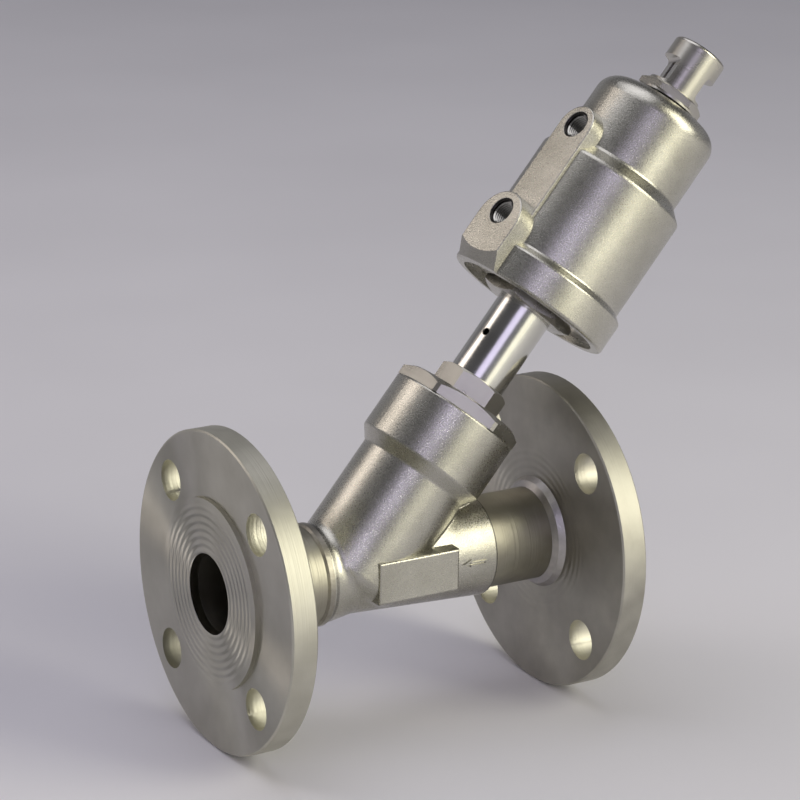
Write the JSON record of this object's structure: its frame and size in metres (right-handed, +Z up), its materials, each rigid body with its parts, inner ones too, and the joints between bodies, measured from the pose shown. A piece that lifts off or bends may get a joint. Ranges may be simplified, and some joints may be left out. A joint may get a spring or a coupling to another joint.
{
  "type": "angle seat valve",
  "caption": "Flanged Y-pattern angle seat valve with a single-acting piston actuator on a slanted neck tube, two side ports and a position indicator cap.",
  "frame": {"origin": "centre of the pipe bore at the outlet flange's raised face", "axes": "+X along the pipe from the outlet to the inlet flange, +Z up in the plane that holds the pipe and the stem, +Y across it; the stem leans 50 degrees from +X towards +Z"},
  "size_m": [0.1961, 0.109, 0.223],
  "materials": {
    "cast_stainless": "satin, bead blasted",
    "machined_stainless": "turned",
    "polished_stainless": "polished",
    "spring_steel": "drawn wire",
    "ptfe": "matte",
    "seal_rubber": "matte",
    "weld": "satin"
  },
  "bodies": {
    "valve": {"valve_body": "cast_stainless", "outlet_flange": "machined_stainless", "inlet_flange": "machined_stainless", "outlet_pipe_stub": "machined_stainless", "inlet_pipe_stub": "machined_stainless", "outlet_flange_weld": "weld", "inlet_flange_weld": "weld", "outlet_body_weld": "weld", "bonnet": "cast_stainless", "bonnet_gasket": "ptfe", "packing_spring": "spring_steel", "packing_rings": "ptfe", "gland_bush": "machined_stainless", "neck_tube": "polished_stainless", "stem_guide": "ptfe", "swivel_nut": "machined_stainless"},
    "actuator": {"actuator_housing": "cast_stainless", "bottom_cover": "machined_stainless", "cover_o_ring": "seal_rubber", "retaining_ring": "spring_steel", "indicator_cap": "cast_stainless", "cap_seal": "seal_rubber", "lock_washer": "machined_stainless", "lock_nut": "machined_stainless"},
    "moving_stem": {"stem": "polished_stainless", "valve_disc": "machined_stainless", "disc_seal": "ptfe", "disc_washer": "machined_stainless", "disc_nut": "machined_stainless", "piston": "machined_stainless", "piston_seal": "seal_rubber", "piston_guide_ring": "ptfe", "piston_washer": "machined_stainless", "piston_nut": "machined_stainless", "main_spring": "spring_steel", "indicator_rod": "polished_stainless"}
  },
  "joints": [
    {"name": "actuator_swivel", "type": "hinge", "parent": "valve", "child": "actuator", "pos_m": [0.0526, 0, 0], "axis": [0.6428, 0, 0.766], "continuous": true},
    {"name": "stem_lift", "type": "slide", "parent": "valve", "child": "moving_stem", "axis": [0.6428, 0, 0.766], "range_m": [0, 0.012], "stiffness_N_per_m": 1000, "springref_m": -0.02, "deforming": ["main_spring"]}
  ]
}
